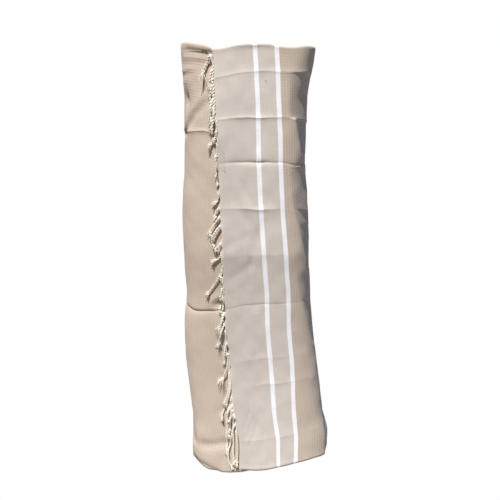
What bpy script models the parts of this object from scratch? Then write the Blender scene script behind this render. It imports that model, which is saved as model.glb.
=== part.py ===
"""A hammam towel wound upright into a strapless wrap: one flat-woven sheet with a fringe on each end.

Units are metres and +Z is up. The front of the wrap faces -Y. The towel stands on its long side edge
and is wound a little over twice round. Its outer end, with the first fringe, lies left of the middle
of the front, and its inner end, with the second fringe, lies inside, right of the middle. The origin
is on the axis of the tube, SEAT_DEPTH below the top edge, where the wrap is held from inside.

A place on the towel is given by two numbers: `wound`, the degrees that the winding has turned from
its outer end, growing to the right and inwards, and `fraction`, how far it lies from the top edge
to the hem. `turned` is the same turn counted from the middle of the front.
"""
from collections import Counter, namedtuple

import bpy
import numpy as np

# Driving dimensions of the flat towel.
TOWEL_LENGTH = 1.86
TOWEL_WIDTH = 1.00
CLOTH_THICKNESS = 0.0015

# How it is wound.
TURN_LENGTH = 0.905
LAYER_PITCH = 0.0030
SEAT_DEPTH = 0.08

# The fringe: a strip along the edge, and one tooth for each twisted tassel.
TASSEL_LENGTH = 0.072
TASSEL_SPACING = 0.022
TASSEL_WIDTH = 0.0032
TASSEL_ROOT = 0.007
TASSEL_BEND = 0.022
TASSEL_LEAN_AT_BEND = 0.012
TASSEL_LEAN_AT_TIP = 0.024
TASSEL_LIFT = 0.0035
HEADER_WIDTH = 0.003
PIECE_GAP = 0.00065

# Creases left by folding the towel flat: ridges along it, one every CREASE_SPACING of its width.
FIRST_CREASE = 0.061
CREASE_SPACING = 0.108
CREASE_COUNT = 9
CREASE_HEIGHT = 0.0020
PINCH_ROW = 0.020

COLUMNS_PER_TURN = 40
SECTION_STEPS = 240
BISECTIONS = 30
FULL_TURN = 360.0

# How far the wrap reaches to each side of the axis, seen from the front, and in front of it.
Outline = namedtuple("Outline", "below left right front")
OUTLINES = (
    Outline(0.000, -0.149, 0.151, 0.1195),
    Outline(0.015, -0.151, 0.158, 0.1165),
    Outline(0.045, -0.149, 0.154, 0.1170),
    Outline(0.095, -0.146, 0.145, 0.1190),
    Outline(0.130, -0.144, 0.141, 0.1200),
    Outline(0.235, -0.146, 0.140, 0.1195),
    Outline(0.290, -0.147, 0.139, 0.1180),
    Outline(0.350, -0.152, 0.144, 0.1160),
    Outline(0.465, -0.152, 0.150, 0.1125),
    Outline(0.525, -0.150, 0.152, 0.1050),
    Outline(0.585, -0.147, 0.155, 0.0980),
    Outline(0.645, -0.152, 0.160, 0.0930),
    Outline(0.705, -0.153, 0.166, 0.0885),
    Outline(0.770, -0.149, 0.175, 0.0845),
    Outline(0.830, -0.143, 0.183, 0.0830),
    Outline(0.895, -0.137, 0.191, 0.0830),
    Outline(0.960, -0.138, 0.205, 0.0850),
    Outline(1.020, -0.137, 0.204, 0.0880),
)

# How square the section is: the power of its superellipse, by degrees from the middle of the front.
# Towards the hem it hangs round again.
Corner = namedtuple("Corner", "turned power")
CORNERS = (
    Corner(-180, 2.5),
    Corner(-90, 2.7),
    Corner(-45, 3.0),
    Corner(0, 3.4),
    Corner(45, 4.0),
    Corner(90, 3.0),
    Corner(180, 2.5),
)
ROUND_POWER = 3.2
ROUND_FROM = 0.72
ROUND_AT = 0.98

# The two long edges, top and hem, as metres below the level of the top, along the winding.
Edge = namedtuple("Edge", "turned top hem")
EDGES = (
    Edge(-50, 0.0160, 1.021),
    Edge(-30, 0.0140, 1.020),
    Edge(-8, 0.0060, 1.022),
    Edge(6, 0.0045, 1.021),
    Edge(20, 0.0045, 1.0165),
    Edge(32, 0.0105, 1.012),
    Edge(42, 0.0120, 1.007),
    Edge(54, 0.0090, 1.0005),
    Edge(64, 0.0110, 0.996),
    Edge(88, 0.0180, 0.996),
    Edge(180, 0.0180, 1.000),
    Edge(240, 0.0160, 1.003),
    Edge(270, 0.0050, 1.006),
    Edge(288, 0.0027, 1.0145),
    Edge(300, 0.0015, 1.027),
    Edge(318, 0.0060, 1.029),
    Edge(326, 0.0130, 1.028),
    Edge(334, 0.0170, 1.027),
    Edge(352, 0.0110, 1.020),
    Edge(402, 0.0150, 0.994),
    Edge(540, 0.0200, 0.997),
    Edge(676, 0.0120, 1.016),
    Edge(760, 0.0120, 1.004),
)

# The outer end, with the first fringe: how far it is turned from the middle of the front.
OuterEnd = namedtuple("OuterEnd", "fraction turned")
OUTER_ENDS = (
    OuterEnd(0.00, -34.8),
    OuterEnd(0.08, -30.9),
    OuterEnd(0.17, -28.2),
    OuterEnd(0.34, -25.0),
    OuterEnd(0.45, -24.6),
    OuterEnd(0.54, -27.8),
    OuterEnd(0.71, -28.1),
    OuterEnd(0.86, -31.2),
    OuterEnd(1.00, -28.0),
)

# The main soft folds, as troughs from one place to another.
Fold = namedtuple("Fold", "turned_from below_from turned_to below_to width depth")
FOLDS = (
    Fold(56, 0.085, 60, 0.145, 0.020, 0.003),
    Fold(60, 0.180, 72, 0.262, 0.022, 0.008),
    Fold(58, 0.350, 74, 0.490, 0.022, 0.007),
    Fold(60, 0.540, 76, 0.700, 0.022, 0.007),
    Fold(86, 0.900, 80, 0.990, 0.022, 0.006),
    Fold(-38, 0.118, -70, 0.190, 0.016, 0.003),
    Fold(-80, 0.122, -70, 0.118, 0.020, 0.008),
    Fold(-36, 0.022, -60, 0.020, 0.012, 0.004),
    Fold(-37, 0.850, -55, 0.885, 0.014, 0.004),
    Fold(-64, 0.964, -44, 0.952, 0.016, 0.005),
    Fold(140, 0.150, 165, 0.520, 0.030, 0.004),
    Fold(205, 0.420, 190, 0.900, 0.030, 0.004),
)


def clear_scene():
    """Remove whatever the startup file holds."""
    for thing in list(bpy.data.objects):
        bpy.data.objects.remove(thing, do_unlink=True)


def column(rows, name):
    """One named column of a table, as an array."""
    return np.array([getattr(row, name) for row in rows])


def side_of_front(turned):
    """The same turn, as degrees to the right of the middle of the front, from -180 to 180."""
    return (turned + 0.5 * FULL_TURN) % FULL_TURN - 0.5 * FULL_TURN


def section_power(turned, below):
    """Power of the superellipse there: the table's, blended into the round one towards the hem."""
    power = np.interp(side_of_front(turned), column(CORNERS, "turned"), column(CORNERS, "power"))
    rounded = np.clip((below - ROUND_FROM) / (ROUND_AT - ROUND_FROM), 0.0, 1.0)
    return power + (ROUND_POWER - power) * rounded


def section_radius(turned, below, half_width, front, back):
    """Radius of the section, |x/a|^p + |y/b|^p = 1 in polar form; b is `front` or `back`."""
    angle = np.radians(turned)
    depth = np.where(np.cos(angle) > 0.0, front, back)
    power = section_power(turned, below)
    across = np.abs(np.sin(angle) / half_width) ** power
    along = np.abs(np.cos(angle) / depth) ** power
    return (across + along) ** (-1.0 / power)


def section_perimeter(below, half_width, front, back):
    """Length once round the section, as a polyline."""
    turned = np.linspace(-0.5 * FULL_TURN, 0.5 * FULL_TURN, SECTION_STEPS + 1)
    radius = section_radius(turned, below, half_width, front, back)
    x = radius * np.sin(np.radians(turned))
    y = radius * np.cos(np.radians(turned))
    return np.sum(np.hypot(np.diff(x), np.diff(y)))


def depth_behind(below, half_width, front):
    """Depth behind the axis at which one turn has its set length: cloth doesn't stretch (bisection)."""
    low, high = 0.2 * half_width, 2.0 * half_width
    for _ in range(BISECTIONS):
        middle = 0.5 * (low + high)
        if section_perimeter(below, half_width, front, middle) < TURN_LENGTH:
            low = middle
        else:
            high = middle
    return 0.5 * (low + high)


OUTLINE_BELOW = column(OUTLINES, "below")
OUTLINE_CENTRE = 0.5 * (column(OUTLINES, "left") + column(OUTLINES, "right"))
OUTLINE_HALF_WIDTH = 0.5 * (column(OUTLINES, "right") - column(OUTLINES, "left"))
OUTLINE_FRONT = column(OUTLINES, "front")
OUTLINE_BACK = np.array([
    depth_behind(*sizes) for sizes in zip(OUTLINE_BELOW, OUTLINE_HALF_WIDTH, OUTLINE_FRONT)
])


def row_fractions():
    """Rows of the cloth: its edges, the pinched row, each crease and the middle of each panel."""
    creases = [FIRST_CREASE + number * CREASE_SPACING for number in range(CREASE_COUNT)]
    middles = [crease + 0.5 * CREASE_SPACING for crease in creases[:-1]]
    rows = [0.0, PINCH_ROW, *creases, *middles, TOWEL_WIDTH]
    return np.array(sorted(rows)) / TOWEL_WIDTH


def outer_end(fraction):
    """Degrees at which the outer end lies, at a fraction of the towel's width."""
    return np.interp(fraction, column(OUTER_ENDS, "fraction"), column(OUTER_ENDS, "turned"))


def height_below(turned, fraction):
    """Metres below the top of a point at a fraction of the towel's width, between its two edges."""
    top = np.interp(turned, column(EDGES, "turned"), column(EDGES, "top"))
    hem = np.interp(turned, column(EDGES, "turned"), column(EDGES, "hem"))
    return top + (hem - top) * fraction


def crease_relief(across):
    """Height of the packing creases: ridges at even distances across the towel's width."""
    panels = (across - FIRST_CREASE) / CREASE_SPACING
    to_nearest = np.abs(panels - np.clip(np.round(panels), 0, CREASE_COUNT - 1))
    return CREASE_HEIGHT * np.clip(1.0 - 2.0 * to_nearest, 0.0, 1.0)


def fold_relief(turned, below):
    """Depth of the soft folds: a bell-shaped trough round each fold's line, fading at its ends."""
    degree = TURN_LENGTH / FULL_TURN
    relief = np.zeros_like(below)
    for fold in FOLDS:
        span = np.array([(fold.turned_to - fold.turned_from) * degree, fold.below_to - fold.below_from])
        away = np.stack([side_of_front(turned - fold.turned_from) * degree, below - fold.below_from])
        along = np.clip(np.tensordot(span, away, 1) / span.dot(span), 0.0, 1.0)
        distance = np.hypot(away[0] - along * span[0], away[1] - along * span[1])
        relief -= fold.depth * np.exp(-(distance / fold.width) ** 2)
    return relief


def place(wound, fraction, lift):
    """Points of the wound towel: the section's radius, plus relief and `lift`, less the turns inside."""
    turned = outer_end(fraction) + wound
    below = height_below(turned, fraction)
    half_width = np.interp(below, OUTLINE_BELOW, OUTLINE_HALF_WIDTH)
    front = np.interp(below, OUTLINE_BELOW, OUTLINE_FRONT)
    back = np.interp(below, OUTLINE_BELOW, OUTLINE_BACK)
    centre = np.interp(below, OUTLINE_BELOW, OUTLINE_CENTRE)
    inset = LAYER_PITCH * wound / FULL_TURN
    relief = crease_relief(fraction * TOWEL_WIDTH) + fold_relief(turned, below)
    radius = section_radius(turned, below, half_width, front, back) + relief + lift - inset
    angle = np.radians(turned)
    return np.stack([centre + radius * np.sin(angle), -radius * np.cos(angle), SEAT_DEPTH - below], axis=1)


def place_between_rows(wound, fraction, lift):
    """Points on the straight lines between the cloth's rows, so that every piece follows its facets."""
    rows = row_fractions()
    lower = np.clip(np.searchsorted(rows, fraction, side="right") - 1, 0, len(rows) - 2)
    share = ((fraction - rows[lower]) / (rows[lower + 1] - rows[lower]))[:, None]
    return (1.0 - share) * place(wound, rows[lower], lift) + share * place(wound, rows[lower + 1], lift)


def sheet_solid(name, wound, fraction, lift, faces, finish):
    """Give a flat pattern its thickness: an outer skin, an inner skin and a wall along each free edge."""
    count = len(wound)
    outer = place_between_rows(wound, fraction, lift)
    inner = place_between_rows(wound, fraction, lift - CLOTH_THICKNESS)
    points = np.vstack([outer, inner])
    edges = [(face[i], face[(i + 1) % len(face)]) for face in faces for i in range(len(face))]
    uses = Counter(frozenset(edge) for edge in edges)
    lining = [tuple(corner + count for corner in reversed(face)) for face in faces]
    walls = [(b, a, a + count, b + count) for a, b in edges if uses[frozenset((a, b))] == 1]
    mesh = bpy.data.meshes.new(name)
    mesh.from_pydata(points.tolist(), [], faces + lining + walls)
    mesh.materials.append(finish)
    mesh.validate()
    piece = bpy.data.objects.new(name, mesh)
    bpy.context.collection.objects.link(piece)
    return piece


def cloth_columns():
    """Columns of the cloth, in whole steps of a turn, so that the facets of all turns lie parallel."""
    return round(COLUMNS_PER_TURN * TOWEL_LENGTH / TURN_LENGTH)


def make_cloth(finish):
    """The towel itself: a grid of columns round the tube and rows down it."""
    columns = cloth_columns()
    fractions = row_fractions()
    step = FULL_TURN / COLUMNS_PER_TURN
    number, fraction = np.meshgrid(np.arange(columns + 1), fractions, indexing="ij")
    rows = len(fractions)
    faces = [
        (a * rows + b + 1, (a + 1) * rows + b + 1, (a + 1) * rows + b, a * rows + b)
        for a in range(columns)
        for b in range(rows - 1)
    ]
    return sheet_solid("towel_cloth", number.ravel() * step, fraction.ravel(), 0.0, faces, finish)


def tassel_rows():
    """Heights, across the towel's width, at which the tassels leave the edge."""
    last_root = TOWEL_WIDTH - TASSEL_ROOT - TASSEL_LENGTH
    count = int((last_root - TASSEL_SPACING / 2) / TASSEL_SPACING) + 1
    return [TASSEL_SPACING / 2 + number * TASSEL_SPACING for number in range(count)]


def fringe_pattern():
    """Flat outline of one fringe: (distance from the cloth's end, height) points and their faces.

    A strip runs down the edge, with points on the cloth's rows so that it bends where the cloth does.
    From it each tassel leaves sideways, bends and hangs down, leaning enough to pass beside the next.
    """
    cloth_rows = row_fractions() * TOWEL_WIDTH
    roots = tassel_rows()
    strip_heights = sorted({*cloth_rows, *roots, *(root + TASSEL_ROOT for root in roots)})
    near = PIECE_GAP
    far = PIECE_GAP + HEADER_WIDTH
    points = [(near, height) for height in strip_heights] + [(far, height) for height in strip_heights]
    count = len(strip_heights)
    faces = [(i + 1, i, i + count, i + count + 1) for i in range(count - 1)]
    half = 0.5 * TASSEL_WIDTH
    for root in roots:
        upper = count + strip_heights.index(root)
        lower = count + strip_heights.index(root + TASSEL_ROOT)
        last_cut = list(range(lower, upper - 1, -1))
        for drop, lean in ((TASSEL_BEND, TASSEL_LEAN_AT_BEND), (TASSEL_LENGTH, TASSEL_LEAN_AT_TIP)):
            points.append((far + lean + half, root + drop))
            points.append((far + lean - half, root + drop))
            next_cut = [len(points) - 1, len(points) - 2]
            faces.append((*last_cut, *reversed(next_cut)))
            last_cut = next_cut
    return np.array(points), faces


def make_fringe(name, finish, at_outer_end):
    """A fringe at one end of the winding; the pattern is mirrored between the two ends.

    The tassels lie on the cloth's outer side at the outer end, and on its inner side at the inner end.
    """
    points, faces = fringe_pattern()
    away, height = points.T
    fraction = height / TOWEL_WIDTH
    on_strip = away < PIECE_GAP + 1.5 * HEADER_WIDTH
    lift = np.where(on_strip, 0.0, TASSEL_LIFT)
    degrees_away = away * FULL_TURN / TURN_LENGTH
    if at_outer_end:
        wound = -degrees_away
    else:
        wound = cloth_columns() * FULL_TURN / COLUMNS_PER_TURN + degrees_away
        faces = [tuple(reversed(face)) for face in faces]
        lift = -lift
    return sheet_solid(name, wound, fraction, lift, faces, finish)


def cotton(name, colour, roughness):
    """A plain matt cotton."""
    finish = bpy.data.materials.new(name)
    finish.use_nodes = True
    shader = finish.node_tree.nodes["Principled BSDF"]
    shader.inputs["Base Color"].default_value = (*colour, 1.0)
    shader.inputs["Roughness"].default_value = roughness
    shader.inputs["Metallic"].default_value = 0.0
    return finish


def build():
    """Make the three pieces of the towel, each with its own finish."""
    clear_scene()
    make_cloth(cotton("sand_cotton", (0.50, 0.40, 0.31), 0.9))
    make_fringe("fringe_outer", cotton("cream_yarn_outer", (0.86, 0.80, 0.68), 0.85), True)
    make_fringe("fringe_inner", cotton("cream_yarn_inner", (0.86, 0.80, 0.68), 0.85), False)


build()
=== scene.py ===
# %% [markdown]
# # A hammam towel, wound upright
#
# A hammam towel is one thin, flat-woven cotton sheet, 1.00 m wide and 1.86 m long, with a knotted
# fringe at each end. Here it stands on its long side and is wound a little over twice round, so that
# the edge with the fringe lies down the left of the front. Only three pieces are needed: the cloth and
# its two fringes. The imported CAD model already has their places, in metres with +Z up, and everything
# below is built in that same frame.
#
# The lesson's plan is to describe the wound towel once, as a function from "metres along the cloth and
# share of its width" to a point in space, and to use that one function for the sheet, for the weave's
# UV map and for every yarn of the fringe. The pieces then meet without one being moved to the other.

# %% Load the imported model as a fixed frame
from collections import namedtuple

import bpy
import numpy as np
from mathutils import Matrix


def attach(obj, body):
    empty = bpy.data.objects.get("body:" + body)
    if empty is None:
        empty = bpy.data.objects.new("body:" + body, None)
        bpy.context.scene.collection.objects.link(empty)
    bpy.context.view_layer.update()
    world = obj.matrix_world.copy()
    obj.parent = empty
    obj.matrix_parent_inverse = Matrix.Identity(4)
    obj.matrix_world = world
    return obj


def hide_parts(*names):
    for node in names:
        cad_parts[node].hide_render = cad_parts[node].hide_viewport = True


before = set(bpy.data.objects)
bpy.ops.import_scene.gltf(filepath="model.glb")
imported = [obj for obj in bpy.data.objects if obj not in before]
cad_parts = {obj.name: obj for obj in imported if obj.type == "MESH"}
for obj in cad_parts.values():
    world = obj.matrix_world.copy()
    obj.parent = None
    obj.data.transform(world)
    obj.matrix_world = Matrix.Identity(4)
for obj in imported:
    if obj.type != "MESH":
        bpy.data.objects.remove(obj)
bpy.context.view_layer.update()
print("CAD nodes:", sorted(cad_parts))

# %% [markdown]
# ## The sizes that drive everything
#
# A maker would give the flat towel's length and width, how far apart the turns lie, and how long one
# turn is. Cloth doesn't stretch, so every height of the wrap has the same length of cloth in a turn.
# Angles are `turned`: degrees from the middle of the front, growing to the right. The first turn runs
# from about -30 to 330 degrees, the second lies inside it, and so on. Heights are `below`: metres under
# the top level, which lies SEAT_DEPTH over the frame's zero, 1.5 mm above the towel's highest point.

# %% Sizes of the towel and of its winding
TOWEL_LENGTH = 1.86
TOWEL_WIDTH = 1.00
CLOTH_THICKNESS = 0.0012
TURN_LENGTH = 0.905
LAYER_PITCH = 0.0030
SEAT_DEPTH = 0.08
# Degrees from the outer end.
TURNED_AT_INNER_END = 756.0
FULL_TURN = 360.0
METRES_A_DEGREE = TURN_LENGTH / FULL_TURN
print("Flat towel:", TOWEL_LENGTH, "x", TOWEL_WIDTH, "m")

# %% Tables of the winding
# How far the wrap reaches to each side and forwards.
Outline = namedtuple("Outline", "below left right front")
OUTLINES = (
    Outline(0.000, -0.149, 0.151, 0.1195),
    Outline(0.015, -0.151, 0.158, 0.1165),
    Outline(0.045, -0.149, 0.154, 0.1170),
    Outline(0.095, -0.146, 0.145, 0.1190),
    Outline(0.130, -0.144, 0.141, 0.1200),
    Outline(0.235, -0.146, 0.140, 0.1195),
    Outline(0.290, -0.147, 0.139, 0.1180),
    Outline(0.350, -0.152, 0.144, 0.1160),
    Outline(0.465, -0.152, 0.150, 0.1125),
    Outline(0.525, -0.150, 0.152, 0.1050),
    Outline(0.585, -0.147, 0.155, 0.0980),
    Outline(0.645, -0.152, 0.160, 0.0930),
    Outline(0.705, -0.153, 0.166, 0.0885),
    Outline(0.770, -0.149, 0.175, 0.0845),
    Outline(0.830, -0.143, 0.183, 0.0830),
    Outline(0.895, -0.137, 0.191, 0.0830),
    Outline(0.960, -0.138, 0.205, 0.0850),
    Outline(1.020, -0.137, 0.204, 0.0880),
)

# How square the section is: the power of its superellipse, by degrees from the front. The cloth is
# drawn flat over the front and turns sharply at the right. Towards the hem it hangs round again, and
# is at ROUND_POWER all round from ROUND_AT down.
Corner = namedtuple("Corner", "turned power")
CORNERS = (
    Corner(-180, 2.5),
    Corner(-90, 2.7),
    Corner(-45, 3.0),
    Corner(0, 3.4),
    Corner(45, 4.0),
    Corner(90, 3.0),
    Corner(180, 2.5),
)
ROUND_POWER = 3.2
ROUND_FROM, ROUND_AT = 0.72, 0.98

# How far below the top level the top edge and the hem lie, along the winding.
Edge = namedtuple("Edge", "turned top hem")
EDGES = (
    Edge(-50, 0.0160, 1.021),
    Edge(-30, 0.0140, 1.020),
    Edge(-8, 0.0060, 1.022),
    Edge(6, 0.0045, 1.021),
    Edge(20, 0.0045, 1.0165),
    Edge(32, 0.0105, 1.012),
    Edge(42, 0.0120, 1.007),
    Edge(54, 0.0090, 1.0005),
    Edge(64, 0.0110, 0.996),
    Edge(88, 0.0180, 0.996),
    Edge(180, 0.0180, 1.000),
    Edge(240, 0.0160, 1.003),
    Edge(270, 0.0050, 1.006),
    Edge(288, 0.0027, 1.0145),
    Edge(300, 0.0015, 1.027),
    Edge(318, 0.0060, 1.029),
    Edge(326, 0.0130, 1.028),
    Edge(334, 0.0170, 1.027),
    Edge(352, 0.0110, 1.020),
    Edge(402, 0.0150, 0.994),
    Edge(540, 0.0200, 0.997),
    Edge(676, 0.0120, 1.016),
    Edge(760, 0.0120, 1.004),
)

# The weft line from which lengths along the cloth are measured, and how far the outer end's edge
# wanders from it: the edge is cut a little wavy, while the stripes run true to the weft.
OuterEnd = namedtuple("OuterEnd", "share turned wander")
OUTER_ENDS = (
    OuterEnd(0.000, -34.8, 0.0000),
    OuterEnd(0.026, -33.5, 0.0010),
    OuterEnd(0.080, -30.6, -0.0010),
    OuterEnd(0.128, -28.9, -0.0010),
    OuterEnd(0.166, -28.4, 0.0010),
    OuterEnd(0.192, -28.1, 0.0060),
    OuterEnd(0.225, -27.9, 0.0030),
    OuterEnd(0.338, -26.6, 0.0044),
    OuterEnd(0.448, -25.3, 0.0018),
    OuterEnd(0.540, -26.6, -0.0030),
    OuterEnd(0.592, -27.3, -0.0020),
    OuterEnd(0.708, -28.3, 0.0005),
    OuterEnd(0.786, -30.2, -0.0018),
    OuterEnd(0.858, -31.5, 0.0008),
    OuterEnd(1.000, -27.6, -0.0010),
)
# How far the weft wanders in the towel's first end, largest where the second stripe runs.
Drift = namedtuple("Drift", "share shift")
DRIFTS = (
    Drift(0.00, -0.0008),
    Drift(0.13, -0.0024),
    Drift(0.23, 0.0000),
    Drift(0.45, 0.0012),
    Drift(0.60, 0.0020),
    Drift(0.71, 0.0024),
    Drift(0.86, -0.0020),
    Drift(1.00, -0.0080),
)
DRIFT_AT, DRIFT_REACH = 0.142, 0.040
print("Tables:", len(OUTLINES), "outlines,", len(EDGES), "edges,", len(OUTER_ENDS), "outer ends")

# %% [markdown]
# ## Smooth curves through short tables
#
# `np.interp` joins table rows with straight lines, which would show as dents in cloth. A cubic piece
# between each two rows is smooth, but a plain cubic spline swings past its rows. Taking the slope at
# each row as the harmonic mean of the slopes on both sides keeps the curve from ever overshooting.


# %% Curves through tables
def column(rows, name):
    """One named column of a table, as an array."""
    return np.array([getattr(row, name) for row in rows], float)


def smooth(x, at, value):
    """Smooth curve through the points (at, value), which never overshoots them.

    Between two rows it is the cubic with the rows' values and slopes. A row's slope is the weighted
    harmonic mean of the straight slopes beside it, or zero where these point opposite ways.
    """
    step = np.diff(at)
    straight = np.diff(value) / step
    before, after = straight[:-1], straight[1:]
    near, far = 2 * step[1:] + step[:-1], step[1:] + 2 * step[:-1]
    alike = before * after > 0
    safe_before = np.where(alike, before, 1.0)
    safe_after = np.where(alike, after, 1.0)
    middle = np.where(alike, (near + far) / (near / safe_before + far / safe_after), 0.0)
    slope = np.concatenate([straight[:1], middle, straight[-1:]])
    row = np.clip(np.searchsorted(at, x) - 1, 0, len(at) - 2)
    t = np.clip((x - at[row]) / step[row], 0.0, 1.0)
    start = value[row] * (1 + 2 * t) * (1 - t) ** 2 + step[row] * slope[row] * t * (1 - t) ** 2
    end = value[row + 1] * t * t * (3 - 2 * t) + step[row] * slope[row + 1] * t * t * (t - 1)
    return start + end


def look_up(x, rows, name):
    """A table's named column, smooth along its first column."""
    return smooth(np.asarray(x, float), column(rows, rows[0]._fields[0]), column(rows, name))


def ease(x, start, end):
    """0 before start and 1 after end, turning smoothly between: 3t^2 - 2t^3."""
    t = np.clip((x - start) / (end - start), 0.0, 1.0)
    return t * t * (3 - 2 * t)


print("Halfway down, the wrap is", round(2 * look_up(0.5, OUTLINES, "right").item(), 3), "m wide")

# %% [markdown]
# ## The section of the wrap
#
# Seen from above, the wrap is a squarish oval, wound tight and broader than deep. A superellipse has
# that shape, and in polar form its radius is one short formula. The photo shows each height's width. How
# far it reaches back isn't seen, but follows from the length of cloth in a turn, which bisection finds.


# %% The section and its half depths
def corner_power(turned, below):
    """Power of the section there: the table's, eased to the round one towards the hem."""
    side = (turned + 0.5 * FULL_TURN) % FULL_TURN - 0.5 * FULL_TURN
    power = look_up(side, CORNERS, "power")
    return power + (ROUND_POWER - power) * ease(below, ROUND_FROM, ROUND_AT)


def section_radius(turned, below, half_width, front, back):
    """Radius of the section: |x/a|^p + |y/b|^p = 1 in polar form, b being `front` or `back`."""
    angle = np.radians(turned)
    depth = np.where(np.cos(angle) > 0, front, back)
    power = corner_power(turned, below)
    across = np.abs(np.sin(angle) / half_width) ** power
    along = np.abs(np.cos(angle) / depth) ** power
    return (across + along) ** (-1.0 / power)


def section_perimeter(below, half_width, front, back):
    """Length once round each section, as a polyline of half degrees."""
    turned = np.linspace(-180.0, 180.0, 721)[:, None]
    radius = section_radius(turned, below, half_width, front, back)
    x = radius * np.sin(np.radians(turned))
    y = radius * np.cos(np.radians(turned))
    return np.sum(np.hypot(np.diff(x, axis=0), np.diff(y, axis=0)), axis=0)


def backs_for_turns(below, half_width, front):
    """Depth behind the axis at which one turn has its set length, by halving an interval 30 times."""
    low, high = 0.2 * half_width, 2.0 * half_width
    for _ in range(30):
        middle = 0.5 * (low + high)
        short = section_perimeter(below, half_width, front, middle) < TURN_LENGTH
        low, high = np.where(short, middle, low), np.where(short, high, middle)
    return 0.5 * (low + high)


OUTLINE_BELOW = column(OUTLINES, "below")
OUTLINE_CENTRE = 0.5 * (column(OUTLINES, "left") + column(OUTLINES, "right"))
OUTLINE_HALF_WIDTH = 0.5 * (column(OUTLINES, "right") - column(OUTLINES, "left"))
OUTLINE_FRONT = column(OUTLINES, "front")
OUTLINE_BACK = backs_for_turns(OUTLINE_BELOW, OUTLINE_HALF_WIDTH, OUTLINE_FRONT)
print("Depth behind the axis, mm:", np.round(OUTLINE_BACK * 1000).astype(int))


# %% A point of the wrap, from how far it is turned and how far it lies across the cloth
def metres_below(turned, share):
    """Metres below the top level, at a share of the cloth's width between top edge and hem."""
    top = look_up(turned, EDGES, "top")
    return top + (look_up(turned, EDGES, "hem") - top) * share


def bare_radius(turned, below):
    """Radius of the outermost turn there, without relief."""
    half_width = smooth(below, OUTLINE_BELOW, OUTLINE_HALF_WIDTH)
    front = smooth(below, OUTLINE_BELOW, OUTLINE_FRONT)
    back = smooth(below, OUTLINE_BELOW, OUTLINE_BACK)
    return section_radius(turned, below, half_width, front, back)


def wrap_point(turned, share, raised):
    """A point of the spiral: the section's radius, less a layer for each turn, plus `raised` metres."""
    below = metres_below(turned, share)
    turns_inside = (turned - look_up(share, OUTER_ENDS, "turned")) / FULL_TURN
    radius = bare_radius(turned, below) - LAYER_PITCH * turns_inside + raised
    angle = np.radians(turned)
    centre = smooth(below, OUTLINE_BELOW, OUTLINE_CENTRE)
    x, y = centre + radius * np.sin(angle), -radius * np.cos(angle)
    return np.stack([x, y, SEAT_DEPTH - below], axis=-1)


print("Front middle at half height:", np.round(wrap_point(np.array(0.0), np.array(0.5), 0.0), 3))

# %% [markdown]
# ## Metres along the cloth
#
# Stripes and weave are measured in metres along the cloth, and the section's formula wants degrees.
# There is no neat formula for the arc of a superellipse, so it is measured: each of 41 heights gets a
# fine polyline, its running length is summed, and the result is turned round into a table that gives
# the angle for any length. Past the part that shows, the turns lie a little slack, so that the inner
# end falls where the CAD model has it.

# %% A table from metres along the cloth to degrees
SLACK_FROM = 0.90
TABLE_SHARES = np.linspace(0.0, 1.0, 41)
# Every 2 mm, from before the outer end to past the inner end.
TABLE_LENGTHS = np.linspace(-0.14, 1.98, 1061)
# The polylines run on for some degrees past both ends, in steps of POLYLINE_STEP degrees.
RUN_ON = 60.0
POLYLINE_STEP = 1.5


def measure_turns():
    """Degrees for each table share and length, and the cloth's length in its first turn, by share."""
    start = look_up(TABLE_SHARES, OUTER_ENDS, "turned")
    turned = start[:, None] + np.arange(-RUN_ON, TURNED_AT_INNER_END + RUN_ON, POLYLINE_STEP)
    points = wrap_point(turned, TABLE_SHARES[:, None] + 0.0 * turned, 0.0)
    steps = np.linalg.norm(np.diff(points, axis=1), axis=-1)
    run = np.concatenate([np.zeros((len(turned), 1)), np.cumsum(steps, axis=1)], axis=1)
    degrees, first_turns = [], []
    for row_turned, row_run, row_start in zip(turned, run, start):
        row_run = row_run - np.interp(row_start, row_turned, row_run)
        end = np.interp(row_start + TURNED_AT_INNER_END, row_turned, row_run)
        known = (TABLE_LENGTHS[0], SLACK_FROM, TOWEL_LENGTH, TABLE_LENGTHS[-1])
        lies = (TABLE_LENGTHS[0], SLACK_FROM, end, end + TABLE_LENGTHS[-1] - TOWEL_LENGTH)
        degrees.append(np.interp(np.interp(TABLE_LENGTHS, known, lies), row_run, row_turned))
        first_turns.append(np.interp(row_start + FULL_TURN, row_turned, row_run))
    return np.array(degrees), np.array(first_turns)


TABLE_DEGREES, FIRST_TURN_LENGTHS = measure_turns()


def turned_at(length, share):
    """Degrees at metres along the cloth and share of its width: the table's four nearest, blended."""
    across = np.clip(share, 0.0, 1.0) * (len(TABLE_SHARES) - 1)
    along = (length - TABLE_LENGTHS[0]) / (TABLE_LENGTHS[1] - TABLE_LENGTHS[0])
    row = np.clip(across.astype(int), 0, len(TABLE_SHARES) - 2)
    place = np.clip(along.astype(int), 0, len(TABLE_LENGTHS) - 2)
    down, on = across - row, along - place
    upper = TABLE_DEGREES[row, place] * (1 - on) + TABLE_DEGREES[row, place + 1] * on
    lower = TABLE_DEGREES[row + 1, place] * (1 - on) + TABLE_DEGREES[row + 1, place + 1] * on
    return upper * (1 - down) + lower * down


print("Cloth in the first turn:", np.round(FIRST_TURN_LENGTHS[[0, 20, 40]], 4), "m")

# %% [markdown]
# ## Creases and folds
#
# The towel was folded flat before it was wound, so sharp creases run along it, one every 0.1 m or so
# of its width, some standing out as ridges and some dented as valleys. Over them lie the soft folds of
# winding: a pinch under the top edge at the left, drags that fan out to the sides, and hollows at the
# right where the cloth turns the corner. A cloth simulation gives folds of its own choosing. These
# have to lie where the photo has them, so each is a row of a table: a straight line between two
# places, with a width and a depth.

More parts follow.
